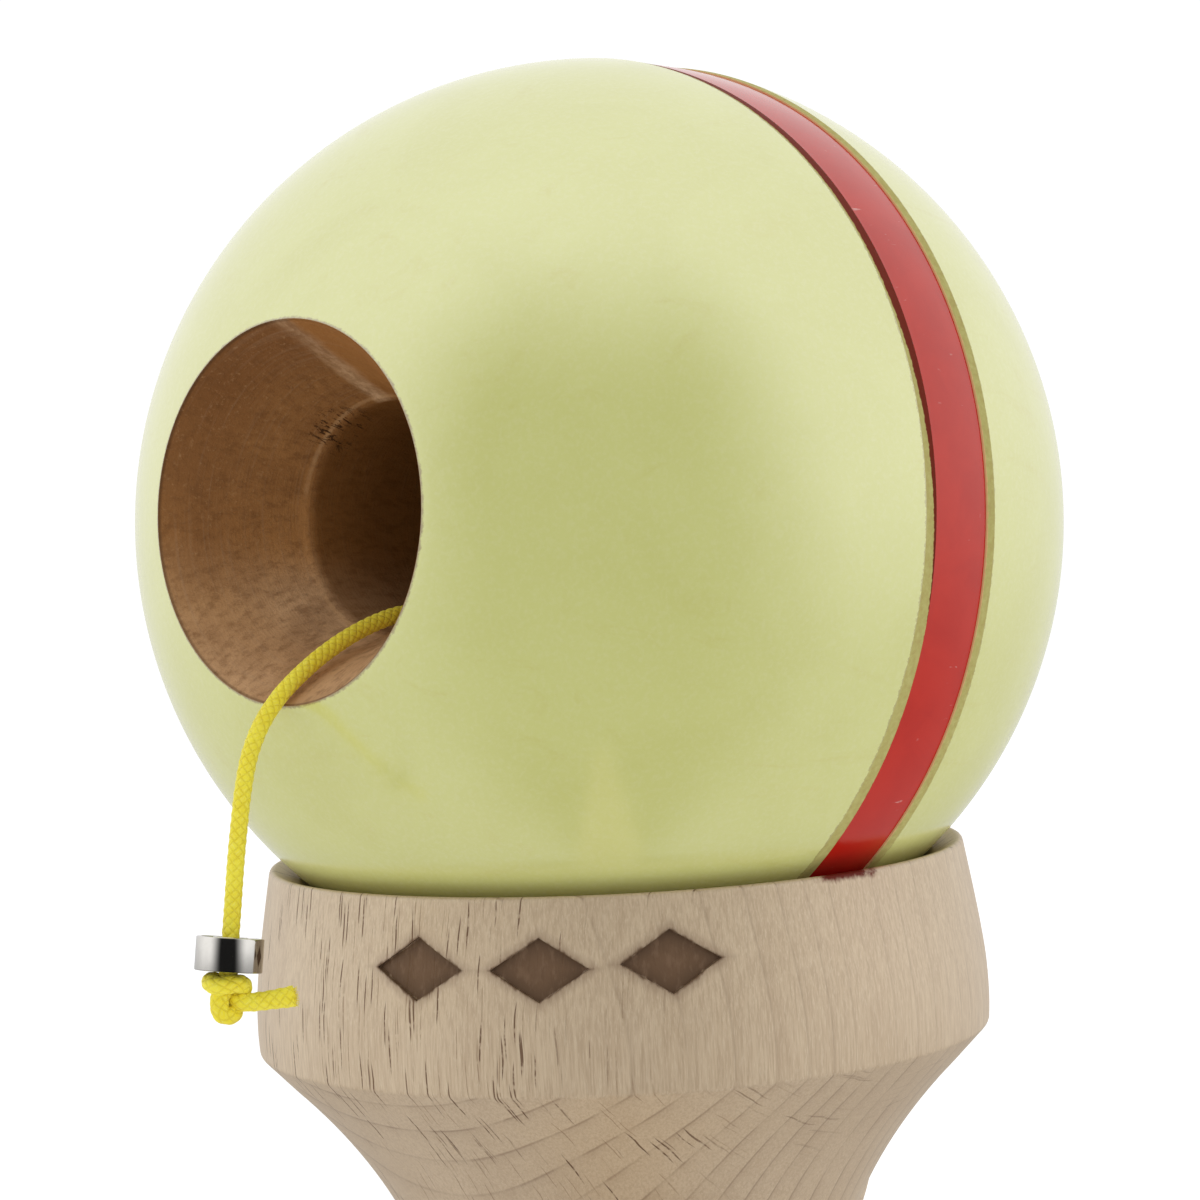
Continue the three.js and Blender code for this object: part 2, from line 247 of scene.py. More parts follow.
# ---------------------------------------------------------------- materials

class Nodes:
    """Lays out one material's nodes. place is the point on the piece at rest, in millimetres."""

    def __init__(self, name, **settings):
        self.material = bpy.data.materials.new(name)
        self.material.use_nodes = True
        self.tree = self.material.node_tree
        self.shader = self.tree.nodes["Principled BSDF"]
        for socket, value in settings.items():
            self.shader.inputs[socket.replace("_", " ")].default_value = value

    def feed(self, socket, value):
        if isinstance(value, bpy.types.NodeSocket):
            self.tree.links.new(value, socket)
        elif value is not None:
            socket.default_value = value

    def add(self, kind, *values, out=0, **settings):
        node = self.tree.nodes.new("ShaderNode" + kind)
        for key, value in settings.items():
            setattr(node, key, value)
        for socket, value in zip(node.inputs, values):
            self.feed(socket, value)
        return node.outputs[out]

    def place(self):
        spot = self.add("TexCoord", out="Object")
        return self.add("VectorMath", spot, (1 / MM,) * 3, operation="MULTIPLY")

    def calc(self, operation, a, b=None):
        return self.add("Math", a, b, operation=operation)

    def plus(self, a, b):
        return self.calc("ADD", a, b)

    def minus(self, a, b):
        return self.calc("SUBTRACT", a, b)

    def times(self, a, *others):
        for other in others:
            a = self.calc("MULTIPLY", a, other)
        return a

    def measure(self, operation, point, other=None):
        """A vector sum that gives a number."""
        other = other if other is None else tuple(map(float, other))
        return self.add("VectorMath", point, other, operation=operation, out="Value")

    def dot(self, point, direction, start=(0.0, 0.0, 0.0)):
        moved = self.add("VectorMath", point, tuple(map(float, start)), operation="SUBTRACT")
        return self.measure("DOT_PRODUCT", moved, direction)

    def join(self, x, y, z):
        return self.add("CombineXYZ", x, y, z)

    def scaled(self, x, y, z, sizes):
        """A point for a texture, each part of it divided by a size in millimetres."""
        return self.join(*(self.calc("DIVIDE", part, size) for part, size in zip((x, y, z), sizes)))

    def noise(self, point, scale=1.0, detail=2.0, rough=0.5, distortion=0.0):
        node = self.tree.nodes.new("ShaderNodeTexNoise")
        for key, value in (("Vector", point), ("Scale", scale), ("Detail", detail), ("Roughness", rough),
                           ("Distortion", distortion)):
            self.feed(node.inputs[key], value)
        return node.outputs["Fac"]

    def cells(self, point, scale=1.0, out="Distance"):
        node = self.tree.nodes.new("ShaderNodeTexVoronoi")
        for key, value in (("Vector", point), ("Scale", scale)):
            self.feed(node.inputs[key], value)
        return node.outputs[out]

    def range(self, value, low, high, to_low=0.0, to_high=1.0, smooth=True):
        return self.add("MapRange", value, low, high, to_low, to_high,
                        interpolation_type="SMOOTHSTEP" if smooth else "LINEAR")

    def ramp(self, value, *stops):
        node = self.tree.nodes.new("ShaderNodeValToRGB")
        self.feed(node.inputs[0], value)
        elements = node.color_ramp.elements
        for _ in stops[2:]:
            elements.new(0.5)
        for element, (at, colour) in zip(elements, stops):
            element.position = at
            element.color = (*colour, 1.0) if isinstance(colour, tuple) else (colour,) * 3 + (1.0,)
        return node.outputs["Color"]

    def mix(self, amount, a, b):
        node = self.tree.nodes.new("ShaderNodeMix")
        node.data_type = "RGBA"
        for index, value in ((0, amount), (6, a), (7, b)):
            self.feed(node.inputs[index], (*value, 1.0) if isinstance(value, tuple) else value)
        return node.outputs[2]

    def bump(self, height, distance, strength=1.0):
        node = self.tree.nodes.new("ShaderNodeBump")
        for key, value in (("Strength", strength), ("Distance", distance * MM), ("Height", height)):
            self.feed(node.inputs[key], value)
        return node.outputs["Normal"]

    def finish(self, **links):
        for socket, value in links.items():
            self.feed(self.shader.inputs[socket.replace("_", " ")], value)
        return self.material


def cord_material():
    """Bright yellow polyester, with painted shade between its strands."""
    m = Nodes("yellow_braid", Roughness=0.55, Specular_IOR_Level=0.35, Sheen_Weight=0.25, Sheen_Roughness=0.4,
              Sheen_Tint=(1.0, 0.95, 0.6, 1.0))
    turn, run, _ = m.add("SeparateXYZ", m.add("UVMap", uv_map="braid")).node.outputs
    left, right = m.plus(turn, run), m.minus(turn, run)
    parity = m.calc("MODULO", m.plus(m.plus(m.calc("FLOOR", left), m.calc("FLOOR", right)), 4000.0), 2.0)
    fl, fr = m.calc("FRACT", left), m.calc("FRACT", right)

    def either(a, b):
        return m.plus(m.times(parity, b), m.times(m.minus(1.0, parity), a))

    width, reach = either(fl, fr), either(fr, fl)
    edge = m.calc("ABSOLUTE", m.minus(width, 0.5))
    tip = m.calc("ABSOLUTE", m.minus(reach, 0.5))
    gap = m.calc("MAXIMUM", m.range(edge, 0.3, 0.5), m.range(tip, 0.36, 0.5, 0.0, 0.8))
    place = m.place()
    strand = m.join(m.times(width, 6.0), m.times(reach, 0.7), m.calc("FLOOR", left))
    fibre = m.noise(strand, 2.2, 3.0, 0.6)
    cloud = m.noise(place, 0.7, 3.0, 0.6)
    colour = m.mix(m.range(cloud, 0.3, 0.7), (1.0, 0.89, 0.052), (0.97, 0.81, 0.028))
    # the paler streaks along the strands are a painted highlight
    colour = m.mix(m.range(fibre, 0.45, 0.75, 0.0, 0.5), colour, (0.98, 0.95, 0.28))
    # painted shade in the gaps between the strands
    shade = m.times(gap, m.range(cloud, 0.3, 0.6, 0.12, 0.5), 0.8)
    colour = m.mix(shade, colour, (0.74, 0.54, 0.012))
    height = m.plus(m.times(m.minus(1.0, gap), 0.6), m.times(fibre, 0.5))
    return m.finish(Base_Color=colour, Normal=m.bump(height, 0.05, 0.8))


BRAID = cord_material()


# ---------------------------------------------------------------- cords

CORD = 0.52            # the radius that is drawn, a little thinner than a 1.2 mm cord

OUT_OF_HANDLE = [
    (-2.4, 0, 34), (2, 0, 34), (7, 0, 34), (12.3, 0, 34), (15.2, 0.2, 33.5), (17.6, 0.8, 31.6),
    (19.3, 2, 28.2), (20.3, 3.6, 23.5), (20.9, 5.2, 18), (21.3, 7, 12.6), (21.6, 9, 7.6),
    (21.6, 11.6, 3.6), (21.2, 15, 1.3), (20.2, 19, 0.7), (18.4, 24, 0.65), (15.8, 30, 0.65),
    (13.4, 36, 0.65), (12.2, 41, 0.65), (12, 45.1, 0.65),
]
COIL_X, COIL_Y, COIL_RADIUS = 5.2, 50, 6.8
COIL_TURNS, COIL_STEPS = 2.5, 16     # steps in each turn
COIL_LOW, COIL_PITCH = 0.65, 1.22    # the first turn lies on the table
COIL = [
    (COIL_X + COIL_RADIUS * math.cos(turn * 2 * math.pi), COIL_Y + COIL_RADIUS * math.sin(turn * 2 * math.pi),
     COIL_LOW + COIL_PITCH * turn)
    for turn in (step / COIL_STEPS for step in range(int(COIL_TURNS * COIL_STEPS) + 1))
]
UP_TO_BALL = [
    (-1.65, 45.1, 3.4), (-2, 41.5, 2.6), (-3.2, 38, 1.4), (-5.2, 35, 0.8), (-7.6, 32.4, 0.75),
    (-9.6, 29.9, 1.4), (-10.6, 28.2, 4), (-10.9, 27.4, 9), (-10.95, 27, 16), (-10.95, 26.7, 24),
    (-10.95, 26.5, 31), (-10.7, 26.5, 36), (-9.3, 26.5, 40.6), (-6, 26.7, 46), (-1.2, 27, 52),
    (4.2, 27.3, 58.6), (9.8, 27.6, 65.6), (15, 27.8, 72.8), (19.5, 28, 80), (22, 28, 85),
    (22.9, 27.6, 88.1), (22.4, 26.5, 90.1), (20.9, 24.75, 90.7),
]
INTO_BALL = [in_bore(-30.6, 0), in_bore(-28.6, 0)]
THROUGH_BALL = [
    (-28.4, 0), (-24, 0), (-16, 0), (-9, 0.1), (-4, 1.1), (1, 3), (6, 4.7), (11, 5.5),
    (15, 5.8), (18.3, 6.05), (21.6, 7.05), (24.5, 8.45), (26.6, 9.8), (28, 10.9),
    (28.25, 11.15), (29, 11.95), (29.75, 13), (30.45, 14.5), (30.9, 16.35), (31.2, 18.4),
    (31.45, 20.5), (31.7, 23.4), (31.93, 26), (32.02, 27.2),
]


def cords():
    coil = from_axis(COIL)
    route = from_axis(OUT_OF_HANDLE)[:-1] + coil[:-2] + from_axis(UP_TO_BALL)[1:] + INTO_BALL
    main = spline(route, 0.13)
    long_cord = braided("cord_braid", main, CORD, 22, BRAID)
    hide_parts("cord_from_handle", "cord_coil", "cord_to_ball")

    last = spline([in_bore(*spot) for spot in THROUGH_BALL], 0.06)
    end_cord = braided("cord_end_braid", last, CORD, 36, BRAID)
    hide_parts("cord_in_ball", "cord_end")
    return long_cord, main, end_cord, last


LONG_CORD, LONG_LINE, END_CORD, END_LINE = cords()
KNOT_TOP = in_bore(32.02, 27.05)
BEARING_AT = in_bore(31.93, 26)
UP_CORD = in_bore(31.45, 20.5) - BEARING_AT     # along the cord above the bearing


def knots():
    # An overhand knot pulled tight, as (right, towards the front, below the bearing).
    turns = [
        (0, 0, -0.9), (0, 0, 0.1), (-0.16, 0.15, 0.95), (-0.36, 0.35, 1.65), (-0.15, 0.35, 2.4),
        (0.38, -0.1, 2.42), (0.42, -0.7, 1.7), (-0.1, -0.88, 0.9), (-0.78, -0.62, 0.60),
        (-0.96, 0.12, 0.62), (-0.45, 0.78, 0.80), (0.40, 0.74, 0.62), (0.88, 0.2, 0.66),
        (0.84, -0.4, 1.05), (0.62, -0.15, 1.55), (1.15, 0.1, 1.66), (2.0, 0.12, 1.56), (3.0, 0.1, 1.36),
        (3.95, 0.05, 1.16),
    ]
    axis = UP_CORD / np.linalg.norm(UP_CORD)
    right = np.array([1.0, 0.04, 0.0]) - axis * axis[0]
    right /= np.linalg.norm(right)
    front = np.cross(right, axis)
    line = spline([KNOT_TOP + right * x + front * y - axis * z for x, y, z in turns], 0.05)
    end = braided("end_knot_braid", line, 0.56, 36, BRAID, frayed=90, flare=0.16)
    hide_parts("end_knot", "knot_tail")
    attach(end, "cord_end")

    centre = np.array([-4.1, AXIS_Y, HANDLE_Z])
    loops = [
        (1.9, 0, 0), (0.9, 0.1, 0.2), (0, 0.75, 0.3), (-0.7, 0.3, 0.75), (-0.6, -0.55, 0.45),
        (0.15, -0.8, -0.2), (0.55, -0.1, -0.8), (0.05, 0.6, -0.55), (-0.75, 0.35, -0.3), (-1.5, 0.1, 0),
    ]
    line = spline([centre + np.array(p) * (1.0, 0.95, 0.95) for p in loops], 0.07)
    pocket = braided("handle_knot_braid", line, 0.55, 22, BRAID)
    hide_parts("handle_knot")
    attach(pocket, "handle")
    return end, pocket


END_KNOT, HANDLE_KNOT = knots()


# ---------------------------------------------------------------- turned shapes

def arc(centre, radius, start, stop, steps):
    angles = np.radians(np.linspace(start, stop, steps + 1))
    return [(centre[0] + radius * math.cos(a), centre[1] + radius * math.sin(a)) for a in angles]


def dish(edge_radius, edge, bottom, steps):
    """A dished cup's hollow, from its edge to its bottom on the axis."""
    depth = abs(edge - bottom)
    radius = (edge_radius ** 2 + depth ** 2) / (2 * depth)
    sign = math.copysign(1, edge - bottom)
    angles = np.linspace(math.asin(edge_radius / radius), 0, steps + 1)
    return [(radius * math.sin(a), bottom + sign * radius * (1 - math.cos(a))) for a in angles]


def trimmed(line, distance):
    """An outline less its first part of that length."""
    line = [np.asarray(p, float) for p in line]
    while len(line) > 2 and np.linalg.norm(line[1] - line[0]) <= distance:
        distance -= np.linalg.norm(line[1] - line[0])
        line = line[1:]
    step = line[1] - line[0]
    return [line[0] + step * min(0.9, distance / max(1e-9, np.linalg.norm(step)))] + line[1:]


def chain(*parts):
    """Outlines joined end to start, each corner rounded off by the distance given between its two. Returns
    the points, and for each of them the number of the outline that the span after it belongs to."""
    line, marks = [np.asarray(p, float) for p in parts[0]], [0] * len(parts[0])
    for number, (distance, part) in enumerate(zip(parts[1::2], parts[2::2]), 1):
        corner = line[-1]
        before = trimmed(line[::-1], distance)[::-1]
        after = trimmed(part, distance)
        bend = [(1 - t) ** 2 * before[-1] + 2 * t * (1 - t) * corner + t * t * after[0]
                for t in (0.2, 0.4, 0.6, 0.8)]
        marks = marks[:len(before)] + [number] * (4 + len(after))
        line = before + bend + after
    return line, marks


def lathe(name, outline, place, segments, materials, spans=None, loop=False, sharp=None):
    """An outline of (radius, height) turned about place's Z axis. place is a 4x4 matrix in millimetres."""
    points, rings, faces, indices = [], [], [], []
    angles = np.arange(segments) * 2 * math.pi / segments
    for radius, height in outline:
        if radius < 1e-6:
            rings.append([len(points)] * segments)
            points.append((0, 0, height))
        else:
            rings.append(list(range(len(points), len(points) + segments)))
            points += [(radius * math.cos(a), radius * math.sin(a), height) for a in angles]
    order = list(range(len(rings))) + ([0] if loop else [])
    for at, (a, b) in enumerate(zip(order, order[1:])):
        for s in range(segments):
            n = (s + 1) % segments
            corners = [rings[a][s], rings[a][n], rings[b][n], rings[b][s]]
            faces.append(list(dict.fromkeys(corners)))
            indices.append(spans[at] if spans else 0)
    points = np.array(points)
    centre, volume = points.mean(axis=0), 0.0
    for face in faces:
        for k in range(1, len(face) - 1):
            a, b, c = points[face[0]] - centre, points[face[k]] - centre, points[face[k + 1]] - centre
            volume += (a[0] * (b[1] * c[2] - b[2] * c[1]) + a[1] * (b[2] * c[0] - b[0] * c[2])
                       + a[2] * (b[0] * c[1] - b[1] * c[0]))
    if volume < 0:
        faces = [face[::-1] for face in faces]
    points = points @ np.asarray(place)[:3, :3].T + np.asarray(place)[:3, 3]
    return mesh(name, points, faces, materials, indices, sharp=sharp)


def facing(place, axis, towards=(0, 0, 1)):
    """The 4x4 matrix that puts a turned shape's Z axis along axis at place."""
    z = np.asarray(axis, float) / np.linalg.norm(axis)
    x = np.asarray(towards, float) - z * z.dot(towards)
    x = x / np.linalg.norm(x)
    made = np.eye(4)
    made[:3, 0], made[:3, 1], made[:3, 2], made[:3, 3] = x, np.cross(z, x), z, place
    return made


def cut(target, cutters, sharp):
    """Takes the cutters' space out of a piece for good. Its edges past sharp degrees stay crisp."""
    for cutter in cutters:
        step = target.modifiers.new("cut", "BOOLEAN")
        step.operation, step.solver, step.object = "DIFFERENCE", "EXACT", cutter
    graph = bpy.context.evaluated_depsgraph_get()
    done = bpy.data.meshes.new_from_object(target.evaluated_get(graph))
    target.modifiers.clear()
    done.polygons.foreach_set("use_smooth", np.full(len(done.polygons), True))
    done.set_sharp_from_angle(angle=math.radians(sharp))
    target.data = done
    for cutter in cutters:
        bpy.data.objects.remove(cutter)


# ---------------------------------------------------------------- wood

RINGS_FACE = np.array([-math.sin(math.radians(38)), -math.cos(math.radians(38)), 0.0])
MARKS = [(-29.5, 67.6), (-10.0, 67.6), (9.5, 67.8)]   # burnt lozenges: angle from -Y towards +X, height
MARK_HALF = (3.1, 1.9)                 # half a lozenge's width and height
BAND_RADIUS = 23.7                     # at the lozenges
STAIN = (14.7, AXIS_Y - 17.4, 71.9)    # where the ball's stripe has rubbed off on the rim


def beech(name, grain, rings_face, start, marks=()):
    """Bare steamed beech: fine straight grain, thin growth-ring lines and short dark ray flecks."""
    m = Nodes(name, Roughness=0.42)
    place = m.place()
    side = np.cross(grain, rings_face)
    n, t, g = m.dot(place, rings_face, start), m.dot(place, side, start), m.dot(place, grain, start)

    def grained(sizes, *settings):
        return m.noise(m.scaled(n, t, g, sizes), 1.0, *settings)

    wander = grained((20, 20, 110), 1.0)
    bow = m.times(m.times(t, t), 0.0042)
    depth = m.plus(m.plus(n, bow), m.times(wander, 1.7))
    width = m.noise(m.join(m.calc("DIVIDE", depth, 9.0), 3.1, 1.7), 1.0, 0.0)
    rings = m.plus(m.calc("DIVIDE", depth, 1.75), m.times(width, 1.2))
    saw = m.calc("FRACT", rings)
    late = m.ramp(saw, (0.0, 0.0), (0.62, 0.06), (0.88, 0.28), (0.945, 1.0), (0.99, 0.0))
    broken = m.range(grained((3, 2.5, 12), 3.0), 0.35, 0.6, 0.35, 1.0)

    def turned_to(direction):
        normal = m.add("NewGeometry", out="Normal")
        return m.calc("ABSOLUTE", m.measure("DOT_PRODUCT", normal, direction))

    flat = m.range(turned_to(side), 0.50, 0.85, 1.0, 0.0)
    ring_line = m.times(late, broken, m.range(turned_to(rings_face), 0.70, 0.93, 1.0, 0.08))

    def flecks(sizes, shift, low, high):
        jitter = m.times(grained((2.0, 2.0, 3.0), 1.0), 0.35)
        spot = m.scaled(
            m.plus(n, shift), m.plus(m.plus(t, jitter), shift), m.plus(g, shift * 3), sizes)
        far = m.cells(spot)
        luck = m.add("SeparateColor", m.cells(spot, out="Color"))
        worm = m.range(grained((0.5, 0.5, 0.5), 2.0), 0.30, 0.5, 0.25, 1.0)
        return m.times(m.range(far, low, high, 1.0, 0.0), m.times(m.range(luck, 0.25, 0.65), worm))

    ray = m.times(flecks((8, 0.24, 6.0), 0.0, 0.17, 0.27), flat)
    thin = m.times(flecks((6, 0.19, 7.5), 5.3, 0.16, 0.26), m.times(flat, 0.8))
    fibre = grained((0.16, 0.16, 3.4), 3.0, 0.6)
    pores = grained((0.07, 0.07, 0.9), 2.0, 0.6)
    broad = grained((9, 9, 34), 3.0, 0.55)
    stain = grained((2.6, 2.6, 22), 3.0, 0.6, 0.6)

    colour = m.mix(m.range(broad, 0.3, 0.7), (0.630, 0.486, 0.320), (0.545, 0.406, 0.254))
    colour = m.mix(m.range(stain, 0.52, 0.75, 0.0, 0.4), colour, (0.480, 0.338, 0.205))
    colour = m.mix(m.range(fibre, 0.35, 0.68, 0.0, 0.55), colour, (0.420, 0.290, 0.172))
    colour = m.mix(m.range(pores, 0.50, 0.70, 0.0, 0.48), colour, (0.720, 0.590, 0.415))
    slope = m.range(turned_to(grain), 0.15, 0.6, 0.30, 0.68)
    colour = m.mix(m.range(turned_to(grain), 0.25, 0.6, 0.0, 0.22), colour, (0.400, 0.300, 0.198))
    colour = m.mix(m.times(ring_line, slope), colour, (0.235, 0.140, 0.075))
    colour = m.mix(m.times(ray, 0.82), colour, (0.095, 0.036, 0.016))
    colour = m.mix(m.times(thin, 0.6), colour, (0.190, 0.100, 0.050))
    sheen = m.minus(0.95, m.times(m.calc("MAXIMUM", ray, m.times(thin, 0.7)), 0.75))
    raised, sunk = m.plus(m.times(fibre, 0.5), m.times(pores, 0.35)), m.plus(ray, m.times(ring_line, 0.4))
    height = m.minus(raised, sunk)
    if marks:
        rough = grained((0.5, 0.5, 1.2), 3.0, 0.6)
        colour, sheen = branded(m, place, marks, colour, sheen, fibre, rough)
    return m.finish(Base_Color=colour, Specular_IOR_Level=sheen, Normal=m.bump(height, 0.035, 0.55))


def branded(m, place, marks, colour, sheen, fibre, rough):
    """Burns the marks into the band, and adds the ball's red where it has rubbed off on the rim."""
    x, y, z = m.add("SeparateXYZ", place).node.outputs
    around = m.calc("ARCTAN2", x, m.minus(AXIS_Y, y))
    near = None
    for angle, level in marks:
        aside = m.calc("ABSOLUTE", m.minus(around, math.radians(angle)))
        above = m.calc("ABSOLUTE", m.minus(z, level))
        one = m.plus(m.times(aside, BAND_RADIUS / MARK_HALF[0]), m.times(above, 1 / MARK_HALF[1]))
        near = one if near is None else m.calc("MINIMUM", near, one)
    outside = m.range(m.measure("LENGTH", m.join(x, m.minus(y, AXIS_Y), 0.0)), 22.0, 22.3)
    near = m.plus(near, m.times(m.minus(1.0, outside), 9.0))
    near = m.plus(near, m.times(m.minus(rough, 0.5), 0.30))
    burnt = m.ramp(near, (0.0, (0.098, 0.056, 0.036)), (0.45, (0.062, 0.033, 0.020)),
                   (0.78, (0.022, 0.011, 0.008)), (1.0, (0.030, 0.014, 0.008)))
    burnt = m.mix(m.range(rough, 0.48, 0.7, 0.0, 0.6), burnt, (0.190, 0.120, 0.080))
    burnt = m.mix(m.range(fibre, 0.5, 0.7, 0.0, 0.6), burnt, (0.018, 0.009, 0.006))
    colour = m.mix(m.range(near, 0.96, 1.10, 1.0, 0.0), colour, burnt)
    colour = m.mix(m.range(near, 1.0, 1.45, 0.5, 0.0), colour, (0.250, 0.150, 0.085))

    ragged = m.plus(m.measure("DISTANCE", place, STAIN), m.times(m.noise(place, 0.9, 4.0, 0.7), 4.2))
    on_rim = m.range(m.plus(z, m.times(rough, 0.9)), 71.75, 72.15)
    red = m.times(m.range(ragged, 3.5, 4.9, 1.0, 0.0), on_rim)
    colour = m.mix(red, colour, (0.130, 0.016, 0.008))
    dull = m.times(m.range(near, 0.96, 1.10, 0.12, 1.0), m.minus(1.0, m.times(red, 0.9)))
    return colour, m.times(sheen, dull)


def lozenge(angle, level):
    """What a branding iron takes out of the band: a curved lozenge a quarter of a millimetre deep."""
    steps = 14
    points, faces = [], []
    for depth in (23.0, 25.5):
        for i in range(steps + 1):
            s = -1 + 2 * i / steps
            a = math.radians(angle) + s * MARK_HALF[0] / BAND_RADIUS
            for side in (-1, 1):
                z = level + side * MARK_HALF[1] * max(1 - abs(s), 0.004)
                wall = 23.9 - 0.014 * (z - 61) ** 2
                r = wall - 0.28 if depth < 24 else depth
                points.append((r * math.sin(a), AXIS_Y - r * math.cos(a), z))
    row = 2 * (steps + 1)
    for i in range(steps):
        a = 2 * i
        faces += [[a, a + 1, a + 3, a + 2], [row + a, row + a + 2, row + a + 3, row + a + 1],
                  [a, a + 2, row + a + 2, row + a], [a + 1, row + a + 1, row + a + 3, a + 3]]
    faces += [[0, row, row + 1, 1], [row - 2, row - 1, 2 * row - 1, 2 * row - 2]]
    return mesh("lozenge", points, faces, [])


def rod(start, stop, radius, end_radius=None, segments=64):
    """A plain round cutter from one point to another."""
    start, stop = np.asarray(start, float), np.asarray(stop, float)
    length = np.linalg.norm(stop - start)
    end_radius = end_radius or radius
    across = (0, 0, 1) if abs((stop - start)[2]) < 0.5 * length else (1, 0, 0)
    place = facing(start, stop - start, across)
    return lathe("rod", [(0, 0), (radius, 0), (end_radius, length), (0, length)], place, segments, [])


def slimmed(radius, height):
    """A point of the waist, drawn in by up to 0.6 mm over its upper half."""
    return radius - 0.6 * max(0.0, math.sin(math.pi * (height - HANDLE_Z) / 28)) ** 1.5, height


def cross_piece():
    small = dish(17.9, 0.35, 11, 26)[::-1]
    rim_low = [small[-1], (18.4, 0.0), (20.85, 0.0)]
    skirt = [rim_low[-1], (21.1, 3), (21.27, 6.5), (21.2, 9.2)]
    waist = [(20.75, 11.5)] + [slimmed(r, z) for r, z in arc((46.8, HANDLE_Z), 34.5, 218, 136, 60)]
    under = [waist[-1], (23.80, 60.05)]
    band = curve([under[-1], (23.86, 61.0), (23.87, 62), (23.78, 64), (23.5, 66.3), (23.12, 68.7),
                  (22.55, 72.0)], 0.5)
    rim = [band[-1], (20.6, 71.05)]
    big = dish(20.5, 71.0, 58, 28)
    outline, _ = chain(
        small, 0.12, rim_low, 0.5, skirt, 0.5, [skirt[-1]] + waist, 0.15, under, 0.2, band, 0.45, rim, 0.2,
        [rim[-1]] + big[1:])
    outline[0], outline[-1] = np.array([0.0, outline[0][1]]), np.array([0.0, outline[-1][1]])
    place = np.eye(4)
    place[:3, 3] = (0, AXIS_Y, 0)
    wood = beech("beech_cross_piece", np.array([0.0, 0.0, 1.0]), RINGS_FACE, (0.0, AXIS_Y, 0.0), MARKS)
    made = lathe("cross_piece_turned", outline, place, 288, [wood])
    slope = 0.6 / 24.6
    cut(made, [
        rod((0, AXIS_Y - 30, HANDLE_Z), (0, AXIS_Y + 30, HANDLE_Z), 8.2 - slope * 30, 8.2 + slope * 30, 96),
        rod((0, AXIS_Y, HANDLE_Z), (30, AXIS_Y, HANDLE_Z), 1.4, segments=32),
        *(lozenge(*mark) for mark in MARKS),
    ], sharp=38)
    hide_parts("cross_piece")
    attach(made, "handle")


def handle():
    spike = curve([(1.75, -62.3), (2.35, -58.5), (3.6, -50), (5.4, -34), (6.9, -19), (7.6, -12.3)], 1.2)
    held = [spike[-1], (8.2, 12.6)]
    grip = curve([(9.0, 14.3), (9.6, 16.5), (10.05, 22), (10.2, 29), (9.7, 46), (8.9, 58), (8.55, 66),
                  (8.4, 73), (8.85, 77.5), (10.2, 81), (14.2, 87), (17.8, 91.2), (18.85, 94.4)], 0.9)
    base = [grip[-1], (18.9, 96), (18.75, 98.9)]
    rim = [base[-1], (16.5, 98.95)]
    cup = dish(16.4, 98.9, 90, 24)
    tip = [(0.0, -63.0), (1.6, -63.0)]
    outline, _ = chain(
        tip, 0.5, [tip[-1]] + spike, 0.05, held, 0.05, [held[-1]] + grip, 0.4, base, 0.45, rim, 0.3,
        [rim[-1]] + cup[1:])
    outline[-1] = np.array([0.0, outline[-1][1]])
    wood = beech("beech_handle", np.array([0.0, 1.0, 0.0]), np.array([0.42, 0.0, 0.907]),
                 (0.0, AXIS_Y, HANDLE_Z))
    made = lathe("handle_turned", outline, facing((0, AXIS_Y, HANDLE_Z), (0, 1, 0)), 224, [wood])
    cut(made, [
        rod((-4, AXIS_Y, HANDLE_Z), (20, AXIS_Y, HANDLE_Z), 1.4, segments=32),
        rod((-15, AXIS_Y, HANDLE_Z), (-2, AXIS_Y, HANDLE_Z), 2.3, segments=40),
    ], sharp=38)
    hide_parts("spiked_handle")
    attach(made, "handle")


# ---------------------------------------------------------------- ball

STRIPE = (-1.84, 2.98)               # the red floor, along the bore's axis
LEDGE = (-2.50, 4.02)                # the worn ledges beside it
FLOOR_RADIUS, LEDGE_RADIUS = 29.78, 29.88


